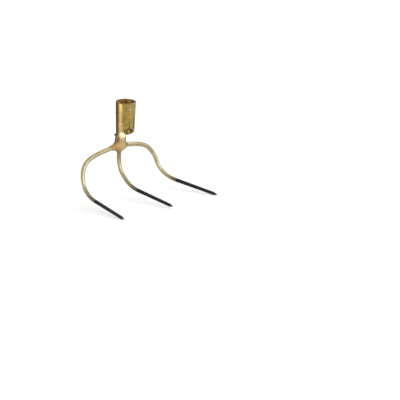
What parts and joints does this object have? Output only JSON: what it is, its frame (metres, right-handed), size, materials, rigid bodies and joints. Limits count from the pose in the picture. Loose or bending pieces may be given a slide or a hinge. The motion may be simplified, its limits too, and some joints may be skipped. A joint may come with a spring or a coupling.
{
  "type": "cultivator hoe head",
  "caption": "Hoe head with a rolled handle socket, a forged neck and bent round tines that end in blackened points.",
  "frame": {"origin": "centre of the socket's mouth", "axes": "+Z out of the socket along the handle, -Y the way the tines point, so the left tine is at -X; apart from the socket's seam and slanting cut the part is the same on both sides of X = 0"},
  "size_m": [0.2394, 0.1418, 0.1696],
  "materials": {
    "lacquered_sheet": "gold lacquer on rolled steel sheet, worn darker at its edges",
    "lacquered_forging": "gold lacquer on forged steel, coppery over the hub",
    "lacquered_bar": "pale gold lacquer on round steel bar",
    "blackened_steel": "black, satin, worn at the bevels",
    "weld_metal": "rippled weld under thin gold lacquer"
  },
  "bodies": {
    "root": {"socket": "lacquered_sheet", "neck": "lacquered_forging", "centre_tine": "lacquered_bar", "left_tine": "lacquered_bar", "right_tine": "lacquered_bar", "centre_point": "blackened_steel", "left_point": "blackened_steel", "right_point": "blackened_steel", "socket_weld": "weld_metal", "seam_weld": "weld_metal", "left_weld": "weld_metal", "right_weld": "weld_metal"}
  },
  "joints": []
}
